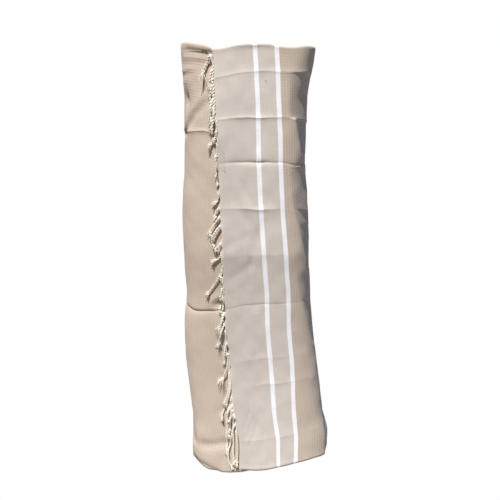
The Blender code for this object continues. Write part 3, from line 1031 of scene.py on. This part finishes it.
def join_tubes(name, bundles):
    """One smooth mesh object from several bundles of tubes."""
    vertices, faces, uvs, first = [], [], [], 0
    for points, quads, caps, quad_uv, cap_uv in bundles:
        vertices.append(points)
        faces += (quads + first).tolist() + (caps + first).tolist()
        uvs += [quad_uv, cap_uv]
        first += len(points)
    mesh = bpy.data.meshes.new(name)
    mesh.from_pydata(np.concatenate(vertices).tolist(), [], faces)
    mesh.uv_layers.new(name="yarn").data.foreach_set("uv", np.concatenate(uvs).ravel())
    mesh.shade_smooth()
    piece = add_object(name, mesh)
    mesh.calc_loop_triangles()
    print(name + ":", len(mesh.loop_triangles), "triangles")
    return piece


straight = np.linspace((0.0, 0.0, 0.0), (0.01, 0.0, 0.0), 3)[None]
quads = tubes(straight, np.full((1, 3), 0.001), np.array([0.0, 0.0, 1.0]), 6)[1]
print("A tube of 2 lengths and 6 sides has", len(quads), "quads")

# %% [markdown]
# ### Where a tassel hangs
#
# A tassel's path is drawn flat, in three numbers: metres to the side of the edge, metres down from the
# top edge, and metres off the turn below. `beside_edge` lays such a path on the towel. Each cord is a
# parabola through three points: its root, its bend and its knot. Those were marked on the photo,
# so their table is in the photo's pixels, and `from_photo` turns `beside_edge` and the camera round.


# %% From beside the edge to a point in space
def outward_at(length, share):
    """The horizontal direction straight out of the wrap."""
    angle = np.radians(turned_at(length, share))
    return np.stack([np.sin(angle), -np.cos(angle), np.zeros_like(angle)], axis=-1)


def beside_edge(side, down, off):
    """Point and outward direction at metres beside the outer end, down it, and off the turn below."""
    share = down / TOWEL_WIDTH
    one_turn = np.interp(share, TABLE_SHARES, FIRST_TURN_LENGTHS)
    length = one_turn + outer_edge(share) - side
    return surface(length, share, off), outward_at(length, share)


def beside_inner_end(side, down, off):
    """The same at the inner end, where the fringe hangs on the inside."""
    share = down / TOWEL_WIDTH
    length = TOWEL_LENGTH + side
    return surface(length, share, -off), -outward_at(length, share)


halfway = beside_edge(np.array(0.0), np.array(0.5 * TOWEL_WIDTH), 0.0)[0]
print("The turn below the edge, halfway down:", np.round(halfway, 3))


# %% The camera, and where it sees a point
# Matched to the photo: metres, degrees down, millimetres, and the photo's width in pixels.
CAMERA_PLACE = (0.009, -2.12, 0.08)
CAMERA_TILT = 12.99
CAMERA_LENS = 65.14
SENSOR_WIDTH = 36.0
PHOTO_WIDTH = 500


def on_photo(points):
    """The photo's pixel, from its upper left corner, at which the camera sees each point.

    It is half the width plus or minus width * lens / sensor * (right or rise) / depth, where rise and
    depth are the point's height and distance turned by the camera's tilt.
    """
    tilt = np.radians(CAMERA_TILT)
    right, ahead, up = np.moveaxis(points - np.array(CAMERA_PLACE), -1, 0)
    depth = ahead * np.cos(tilt) - up * np.sin(tilt)
    rise = up * np.cos(tilt) + ahead * np.sin(tilt)
    zoom = PHOTO_WIDTH * CAMERA_LENS / SENSOR_WIDTH / depth
    return np.stack([0.5 * PHOTO_WIDTH + zoom * right, 0.5 * PHOTO_WIDTH - zoom * rise], axis=-1)


print("That place is at pixel", np.round(on_photo(halfway), 1))

# %% The tassels, marked on the photo
# Each tassel leaves the edge at its root, passes its bend and ends at its knot, given in pixels of the
# photo. Then come metres: off the turn below at the bend, the tuft's length, and a ply's radius.
Traced = namedtuple("Traced", "root_y bend_x bend_y knot_x knot_y stand tuft ply")
TRACED = (
    Traced(56, 207.2, 62.5, 203.2, 71.5, 0.006, 0.020, 0.0015),
    Traced(58, 213.2, 68, 211.8, 79, 0.004, 0.008, 0.0012),
    Traced(71, 209.8, 78, 209.6, 85, 0.008, 0.013, 0.0015),
    Traced(79, 213.6, 91, 212.4, 103, 0.005, 0.008, 0.0016),
    Traced(86, 209.8, 96, 210.4, 107, 0.008, 0.009, 0.0016),
    Traced(93, 214.6, 103, 213.6, 112, 0.005, 0.009, 0.0016),
    Traced(100, 210.4, 109, 209.9, 118, 0.008, 0.011, 0.0016),
    Traced(108, 213.6, 115, 211, 123, 0.007, 0.010, 0.0015),
    Traced(113, 216.6, 127, 214.2, 139, 0.006, 0.008, 0.0014),
    Traced(118, 212.6, 124, 211.4, 129, 0.008, 0.010, 0.0014),
    Traced(137, 214.5, 142, 211.5, 144, 0.0025, 0.012, 0.0014),
    Traced(144, 217.0, 150, 216.2, 156, 0.006, 0.006, 0.0012),
    Traced(156, 215.2, 165, 215.6, 174, 0.006, 0.007, 0.0015),
    Traced(165, 216.6, 176, 217.2, 184, 0.003, 0.006, 0.0012),
    Traced(193, 217.8, 200, 215, 203, 0.003, 0.009, 0.0011),
    Traced(208, 215.8, 211.5, 214.8, 217, 0.006, 0.007, 0.0011),
    Traced(217, 213.2, 226, 210, 232, 0.006, 0.010, 0.0012),
    Traced(226, 212.3, 237, 213.2, 246, 0.009, 0.007, 0.0013),
    Traced(243, 218, 246.5, 215.8, 249.5, 0.009, 0.007, 0.0014),
    Traced(253, 218.5, 258.5, 214.6, 260.5, 0.003, 0.010, 0.0012),
    Traced(256, 222.2, 269, 220.7, 277, 0.004, 0.007, 0.0013),
    Traced(270, 216.5, 281, 207.6, 293.5, 0.004, 0.009, 0.0010),
    Traced(281, 223.6, 289, 222.2, 297, 0.004, 0.007, 0.0013),
    Traced(289, 220.6, 301, 220.2, 312, 0.007, 0.008, 0.0013),
    Traced(300, 222.6, 309, 222, 321, 0.005, 0.008, 0.0014),
    Traced(313, 221.4, 322, 219, 328, 0.008, 0.013, 0.0015),
    Traced(324, 220.4, 335, 219.2, 343, 0.009, 0.013, 0.0015),
    Traced(331, 226.2, 344, 226.4, 354, 0.005, 0.007, 0.0013),
    Traced(343, 224.4, 352, 224.2, 360, 0.008, 0.009, 0.0015),
    Traced(355, 226.6, 368, 222.2, 379, 0.008, 0.015, 0.0013),
    Traced(362, 229.0, 376, 230.2, 388, 0.005, 0.008, 0.0015),
    Traced(372, 228.6, 388, 225, 401, 0.007, 0.009, 0.0016),
    Traced(379, 229.8, 391, 226.4, 404, 0.008, 0.009, 0.0016),
    Traced(378, 231.2, 390, 231.6, 398, 0.004, 0.008, 0.0013),
    Traced(386, 224.8, 403, 222, 417, 0.006, 0.008, 0.0012),
    Traced(398, 233.4, 408, 233.6, 413, 0.0025, 0.013, 0.0013),
    Traced(397, 227.6, 411, 227.6, 421, 0.008, 0.008, 0.0014),
    Traced(403, 230.6, 417, 229.4, 430, 0.006, 0.008, 0.0013),
    Traced(402, 226.8, 420, 228.6, 436, 0.007, 0.008, 0.0014),
    Traced(410, 226.4, 434, 227.2, 451, 0.006, 0.010, 0.0014),
    Traced(424, 228.6, 449, 231.0, 466, 0.007, 0.010, 0.0015),
    Traced(416, 233.4, 443, 234.2, 461, 0.005, 0.010, 0.0015),
    Traced(431, 237.6, 450, 236.8, 462, 0.004, 0.011, 0.0015),
)
print(len(TRACED), "tassels")

# %% From the photo's pixels back to the towel
Tassel = namedtuple("Tassel", "root bend_side bend_down knot_side knot_down stand tuft ply")
# A knot stands off the turn below by a share of the bend's stand, and by its own clearance.
KNOT_STAND, KNOT_CLEARANCE = 0.6, 0.002
# How far the edge stands off the turn below where a cord leaves it.
EDGE_STAND = 0.004
# Where the search for a pixel starts, in metres beside the edge, and the pixels of top edge and hem.
START_SIDE, TOP_Y, HEM_Y = 0.005, 48.0, 472.0
SEARCH_STEPS, LONGEST_STEP, NUDGE = 12, 0.02, 0.003


def from_photo(x, y, off):
    """Metres beside and down the outer end at which the photo shows the pixel (x, y).

    Newton's method: the slopes are measured over a nudge, and the step solves slopes * step = miss.
    """
    side, down = np.full(len(x), START_SIDE), np.interp(y, (TOP_Y, HEM_Y), (0.0, TOWEL_WIDTH))
    for _ in range(SEARCH_STEPS):
        here = on_photo(beside_edge(side, down, off)[0])
        by_side = on_photo(beside_edge(side + NUDGE, down, off)[0]) - here
        by_down = on_photo(beside_edge(side, down + NUDGE, off)[0]) - here
        slopes = np.stack([by_side, by_down], axis=-1) / NUDGE
        miss = np.stack([x, y], axis=-1) - here
        step = np.linalg.solve(slopes, miss[..., None])[..., 0]
        step = np.clip(step, -LONGEST_STEP, LONGEST_STEP)
        side, down = side + step[:, 0], np.clip(down + step[:, 1], 0.0, TOWEL_WIDTH)
    return side, down


def measure_tassels():
    """The traced tassels in metres beside and down the edge. Roots are found by their height alone."""
    root_y, bend_x, bend_y, knot_x, knot_y, stand, tuft, ply = np.array(TRACED).T
    down = np.linspace(0.0, TOWEL_WIDTH, 401)
    edge_y = on_photo(beside_edge(0.0 * down, down, EDGE_STAND)[0])[:, 1]
    root = np.interp(root_y, edge_y, down)
    bend = from_photo(bend_x, bend_y, stand)
    knot = from_photo(knot_x, knot_y, KNOT_STAND * stand + KNOT_CLEARANCE)
    return [Tassel(*row) for row in zip(root, *bend, *knot, stand, tuft, ply)]


TASSELS = measure_tassels()
print("The lowest root lies", round(max(tassel.root for tassel in TASSELS), 3), "m down the edge")

# %% Paths of cords, root yarns and strays
YARN_RADIUS = 0.0005
CORD_POINTS = 30
MILLIMETRE = 0.001
# Metres beside the edge at which a root is gathered, and how far off the turn below it stands there.
GATHER = 0.004
ROOT_STAND, ROOT_SHARE = 0.004, 0.2
# The yarns of a root come from ROOT_YARNS even places along ROOT_SPAN of the edge.
ROOT_YARNS, ROOT_SPAN = 9, 0.024
# How far off the turn below they meet.
FAN_STAND = 0.0055
# How far the middle of such a yarn lies beside, below and off the straight line.
ROOT_BOW = (0.0006, -0.001, 0.001)
# Loose yarns lie on the plain end: the first one's place down the edge, the gap from one to the next,
# their number, and how far each runs inwards and down.
STRAYS_FROM, STRAY_STEP, STRAY_COUNT = 0.208, 0.0080, 6
STRAY_RUN = (0.015, 0.022, 0.0)
# How far off the cloth they lie, their middle's bow, and their thickness as a share of a yarn's.
STRAY_STAND, STRAY_BOW, STRAY_THICKNESS = 0.0004, (-0.001, -0.001, 0.0002), 0.8


def through(start, middle, end, steps):
    """Parabola through three points each (tassels, 3), at t = 0, 1/2 and 1: its weights times them."""
    t = np.linspace(0.0, 1.0, steps)[None, :, None]
    weights = ((1 - t) * (1 - 2 * t), 4 * t * (1 - t), t * (2 * t - 1))
    return sum(weight * point[:, None] for weight, point in zip(weights, (start, middle, end)))


def tassel_paths(place):
    """Every cord's middle line and the outward directions along it."""
    root, bend_side, bend_down, knot_side, knot_down, stand = np.array(TASSELS).T[:6]
    start = np.stack([np.full(len(root), GATHER), root, ROOT_STAND + ROOT_SHARE * stand], axis=-1)
    middle = np.stack([bend_side, bend_down, stand], axis=-1)
    end = np.stack([knot_side, knot_down, KNOT_STAND * stand + KNOT_CLEARANCE], axis=-1)
    return place(*np.moveaxis(through(start, middle, end, CORD_POINTS), -1, 0))


def root_fans(place, edge_off):
    """Yarns from even places along the edge, drawn together at each tassel's root."""
    root = column(TASSELS, "root")
    spread = np.linspace(-0.5, 0.5, ROOT_YARNS) * ROOT_SPAN
    start_down = np.clip((root[:, None] + spread).ravel(), MILLIMETRE, TOWEL_WIDTH - MILLIMETRE)
    many = np.ones(len(start_down))
    start = np.stack([-MILLIMETRE * many, start_down, edge_off(start_down / TOWEL_WIDTH)], axis=-1)
    end_down = np.repeat(root, ROOT_YARNS) + MILLIMETRE
    end = np.stack([GATHER * many, end_down, FAN_STAND * many], axis=-1)
    middle = 0.5 * (start + end) + ROOT_BOW
    path, outward = place(*np.moveaxis(through(start, middle, end, 8), -1, 0))
    return tubes(path, np.full(path.shape[:2], YARN_RADIUS), outward, 4)


def stray_yarns():
    """Loose yarns that lie over the plain end, from the edge inwards and down."""
    down = STRAYS_FROM + np.arange(STRAY_COUNT) * STRAY_STEP
    start = np.stack([0.0 * down, down, 0.0 * down + STRAY_STAND], axis=-1)
    end = start + STRAY_RUN
    middle = 0.5 * (start + end) + STRAY_BOW
    inwards, below, off = np.moveaxis(through(start, middle, end, 8), -1, 0)
    share = below / TOWEL_WIDTH
    length = outer_edge(share) + inwards
    path, outward = surface(length, share, off), outward_at(length, share)
    return tubes(path, np.full(path.shape[:2], STRAY_THICKNESS * YARN_RADIUS), outward, 4)


cord_steps = np.diff(tassel_paths(beside_edge)[0], axis=1)
cord_lengths = np.sum(np.linalg.norm(cord_steps, axis=-1), axis=1)
print("Cords are", np.round(cord_lengths.min(), 3), "to", np.round(cord_lengths.max(), 3), "m long")

# %% Knots and tufts
# The smallest and the largest knot, as shares of the usual size.
KNOT_SIZES = (0.85, 1.2)
TUFT_YARNS = 16
# The least and the most that a yarn splays and is long, as shares of the tuft's length. A tuft that is
# longer than TUFT_USUAL metres splays more. The splay outwards is a share of that along the cloth.
TUFT_SPLAY, TUFT_LENGTHS = (0.2, 1.5), (0.65, 1.1)
TUFT_USUAL, OUTWARD_SPLAY = 0.010, 0.6
# How far a yarn's end droops, as a share of its length, and its thickness from knot to end.
DROOP = (0.0, 0.0, -0.35)
TUFT_THICKNESS = (1.7 * YARN_RADIUS, 1.0 * YARN_RADIUS)
# The knot's yarn and its squeeze, as shares of its size.
KNOT_YARN, KNOT_SQUEEZE = 1.2, 1.2


def knots(ends, outward, size, play):
    """A knot on the first point of each path: the trefoil curve, squeezed along the cord.

    x = sin t + 2 sin 2t, y = cos t - 2 cos 2t and z = -squeeze * sin 3t, for t once round.
    """
    t = np.linspace(0.0, 2 * np.pi, 25)[:-1]
    along = unit(ends[:, 0] - ends[:, 2])[:, None]
    out = outward[:, 0]
    first = unit(out - np.sum(out * along[:, 0], axis=-1, keepdims=True) * along[:, 0])[:, None]
    second = np.cross(along, first)
    size = play.uniform(*KNOT_SIZES, (len(ends), 1, 1)) * size
    x = (np.sin(t) + 2 * np.sin(2 * t))[None, :, None] * size
    y = (np.cos(t) - 2 * np.cos(2 * t))[None, :, None] * size
    z = (-KNOT_SQUEEZE * np.sin(3 * t))[None, :, None] * size
    path = ends[:, :1] + x * along + y * second + z * first
    around = np.broadcast_to(first, path.shape)
    return tubes(path, KNOT_YARN * size[:, :, 0] + np.zeros(path.shape[:2]), around, 6)


def end_tufts(core, outward, play):
    """Loose yarns below each knot: size * (t * aim + t^2 * droop), aim being the cord's splayed."""
    count = len(core)
    tuft = column(TASSELS, "tuft")[:, None, None]
    along = unit(core[:, -1] - core[:, -4])[:, None]
    first = unit(outward[:, -1])[:, None]
    second = np.cross(along, first)
    angle = play.uniform(0, 2 * np.pi, (count, TUFT_YARNS, 1))
    splay = play.uniform(*TUFT_SPLAY, (count, TUFT_YARNS, 1)) * tuft / TUFT_USUAL
    size = play.uniform(*TUFT_LENGTHS, (count, TUFT_YARNS, 1)) * tuft
    aim = unit(along + splay * (np.cos(angle) * first * OUTWARD_SPLAY + np.sin(angle) * second))
    t = np.linspace(0.0, 1.0, 6)[None, None, :, None]
    path = core[:, -1][:, None, None] + size[..., None] * (t * aim[:, :, None] + t * t * np.array(DROOP))
    path = path.reshape(count * TUFT_YARNS, 6, 3)
    around = np.repeat(np.broadcast_to(outward[:, -1:], (count, TUFT_YARNS, 3)).reshape(-1, 1, 3), 6, axis=1)
    radius = np.linspace(*TUFT_THICKNESS, 6) + np.zeros((count * TUFT_YARNS, 1))
    return tubes(path, radius, around, 4)


print(TUFT_YARNS, "yarns in a tuft")

# %% The two fringes
TWIST_PITCH = 0.014
# A ply thins towards the knot, and lies a little less than its own radius off the cord's middle.
PLY_TAPER, PLY_OFFSET = 0.85, 0.95
ROOT_KNOT, END_KNOT = 0.00070, 0.00105


def make_fringe(name, place, edge_off, seed, extra=()):
    """All tassels of one end: a fan of yarns at each root, two knots, a twisted cord and a tuft.

    Each ply is a helix about the cord: offset * (cos a * first arm + sin a * second arm).
    """
    play = np.random.default_rng(seed)
    core, outward = tassel_paths(place)
    first, second = arms(core, outward)
    step = np.linalg.norm(np.diff(core, axis=1), axis=-1)
    run = np.concatenate([np.zeros((len(core), 1)), np.cumsum(step, axis=1)], axis=1)
    phase = play.uniform(0.0, 2 * np.pi, (len(core), 1))
    thick = column(TASSELS, "ply")[:, None] * np.linspace(1.0, PLY_TAPER, CORD_POINTS)
    bundles = []
    for ply in (0.0, np.pi):
        angle = (2 * np.pi * run / TWIST_PITCH + phase + ply)[..., None]
        offset = PLY_OFFSET * thick[..., None] * (np.cos(angle) * first + np.sin(angle) * second)
        bundles.append(tubes(core + offset, thick, outward, 6))
    bundles.append(root_fans(place, edge_off))
    bundles.append(knots(core[:, :3], outward, ROOT_KNOT, play))
    bundles.append(knots(core[:, :-4:-1], outward[:, ::-1], END_KNOT, play))
    bundles.append(end_tufts(core, outward, play))
    return join_tubes(name, bundles + list(extra))


def outer_edge_off(share):
    """How far the outer end's edge stands off the turn below: a layer, its curl, less half the cloth."""
    return LAYER_PITCH + look_up(share, CURLS, "lift") - 0.5 * CLOTH_THICKNESS


def inner_edge_off(share):
    """The inner end's edge lies in its own turn's surface: half the cloth's thickness inside it."""
    return np.full_like(share, 0.5 * CLOTH_THICKNESS)


outer_fringe = make_fringe("fringe_front", beside_edge, outer_edge_off, 7, [stray_yarns()])
inner_fringe = make_fringe("fringe_inside", beside_inner_end, inner_edge_off, 11)

# %% [markdown]
# ## The yarn's finish
#
# The fringe is undyed cream cotton. Its fibres run round each ply at a slant, so the bump is a wave
# along a slanting line in the yarn's UV map, with noise for stray fibres.

# %% Cream cotton yarn
# Fibres to a metre of yarn, and in one turn round it.
FIBRES_ALONG, FIBRES_ROUND = 1400.0, 2.0
FUZZ_SCALE, FUZZ_BUMP = 900.0, 0.6
# The bump's strength and its height in metres.
YARN_BUMP = (0.5, 0.0004)
YARN_DARK = (0.90, 0.81, 0.69, 1.0)
YARN_LIGHT = (0.98, 0.93, 0.86, 1.0)


def make_yarn_material():
    """Cream cotton with slanting fibres: 1/2 + 1/2 sin(2 pi (fibres along + fibres round))."""
    finish = {"Roughness": 0.88, "Sheen Weight": 0.15}
    material, tree, shader, flat = new_material("cream_cotton_yarn", "yarn", finish)
    along, turn = separate(tree, flat)
    slant = math(tree, "MULTIPLY_ADD", along, FIBRES_ALONG, math(tree, "MULTIPLY", turn, FIBRES_ROUND))
    wave = math(tree, "SINE", math(tree, "MULTIPLY", slant, 2 * np.pi))
    fibres = math(tree, "MULTIPLY_ADD", wave, 0.5, 0.5)
    fuzz = noise(tree, add_node(tree, "TexCoord", {}).outputs["Object"], FUZZ_SCALE, 3.0)
    colour = blend_colours(tree, fuzz, YARN_DARK, YARN_LIGHT)
    link_value(tree, shader.inputs["Base Color"], colour)
    bump(tree, shader, math(tree, "MULTIPLY_ADD", fuzz, FUZZ_BUMP, fibres), *YARN_BUMP)
    return material


yarn_finish = make_yarn_material()
for fringe in (outer_fringe, inner_fringe):
    fringe.data.materials.append(yarn_finish)
print("Yarn finish:", yarn_finish.name)

# %% [markdown]
# ## Tie the pieces to the frame
#
# Each piece rides on the part's one body, and the CAD node that it stands for is hidden.

# %% What each piece is
for piece, node, slot in (
    (cloth, "towel_cloth", "sand_cotton"),
    (outer_fringe, "fringe_outer", "cream_yarn"),
    (inner_fringe, "fringe_inner", "cream_yarn"),
):
    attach(piece, "root")
    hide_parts(node)
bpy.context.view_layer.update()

# %% [markdown]
# ## Floor, light and camera
#
# The floor is plain and pale, and far enough down to stay out of the camera's view. A key lamp from the
# front left, high up, models the folds. The shade gets a dim warm fill from the front and a bluish one
# from the right. The world is plain white where the camera sees it. The camera's place, tilt and lens
# are those with which the CAD model's outline fell on the photo's.

# %% Stage and light
FLOOR_HEIGHT, FLOOR_REACH = -2.4, 1.2
FLOOR_COLOUR = (0.85, 0.85, 0.85, 1)
FRONT_FILL = (0.130, 0.108, 0.090, 1.0)
RIGHT_FILL = (0.200, 0.255, 0.345, 1.0)
# The fills blend where a direction's part to the right lies between these, 1 being straight right.
FILL_FROM, FILL_TO = 0.40, 0.80
KEY_AZIMUTH, KEY_ELEVATION, KEY_ANGLE = -24.0, 62.0, 1.2
KEY_STRENGTH, KEY_COLOUR = 5.85, (1.0, 1.0, 0.99)


def make_floor():
    """A plain pale floor."""
    mesh = bpy.data.meshes.new("floor")
    sides = ((-1, -1), (1, -1), (1, 1), (-1, 1))
    corners = [(x * FLOOR_REACH, y * FLOOR_REACH, FLOOR_HEIGHT) for x, y in sides]
    mesh.from_pydata(corners, [], [(0, 1, 2, 3)])
    floor = add_object("floor", mesh)
    material = bpy.data.materials.new("pale_floor")
    material.use_nodes = True
    material.node_tree.nodes["Principled BSDF"].inputs["Base Color"].default_value = FLOOR_COLOUR
    mesh.materials.append(material)


def make_key():
    """A key lamp, its azimuth growing to the right from the front, its elevation from the horizon."""
    lamp = bpy.data.lights.new("key", "SUN")
    lamp.energy = KEY_STRENGTH
    lamp.color = KEY_COLOUR
    lamp.angle = np.radians(KEY_ANGLE)
    key = add_object("key", lamp)
    key.rotation_euler = (np.radians(90.0 - KEY_ELEVATION), 0.0, np.radians(KEY_AZIMUTH))


def make_world():
    """White for the camera. Everything else gets a dim warm fill, and a bluish one from the right."""
    world = bpy.data.worlds.new("studio")
    world.use_nodes = True
    tree = world.node_tree
    tree.nodes.clear()
    to_right = separate(tree, add_node(tree, "TexCoord", {}).outputs["Generated"])[0]
    fill = blend_colours(tree, smooth_step(tree, to_right, FILL_FROM, FILL_TO), FRONT_FILL, RIGHT_FILL)
    fills = add_node(tree, "Background", {"Color": fill}).outputs[0]
    seen = add_node(tree, "Background", {"Color": (1.0, 1.0, 1.0, 1.0)}).outputs[0]
    ray = add_node(tree, "LightPath", {}).outputs["Is Camera Ray"]
    mix = add_node(tree, "MixShader", {0: ray, 1: fills, 2: seen})
    add_node(tree, "OutputWorld", {0: mix.outputs[0]})
    bpy.context.scene.world = world


make_floor()
make_key()
make_world()
bpy.context.scene.view_settings.view_transform = "Standard"
print("Key lamp", KEY_ELEVATION, "degrees up; floor at", FLOOR_HEIGHT, "m")

# %% The camera at the photo's view
camera_data = bpy.data.cameras.new("camera")
camera_data.lens = CAMERA_LENS
camera_data.sensor_width = SENSOR_WIDTH
camera = add_object("camera", camera_data)
camera.location = CAMERA_PLACE
camera.rotation_euler = (np.radians(90.0 - CAMERA_TILT), 0.0, 0.0)
bpy.context.scene.camera = camera
print("Camera", CAMERA_TILT, "degrees down, lens", CAMERA_LENS, "mm")
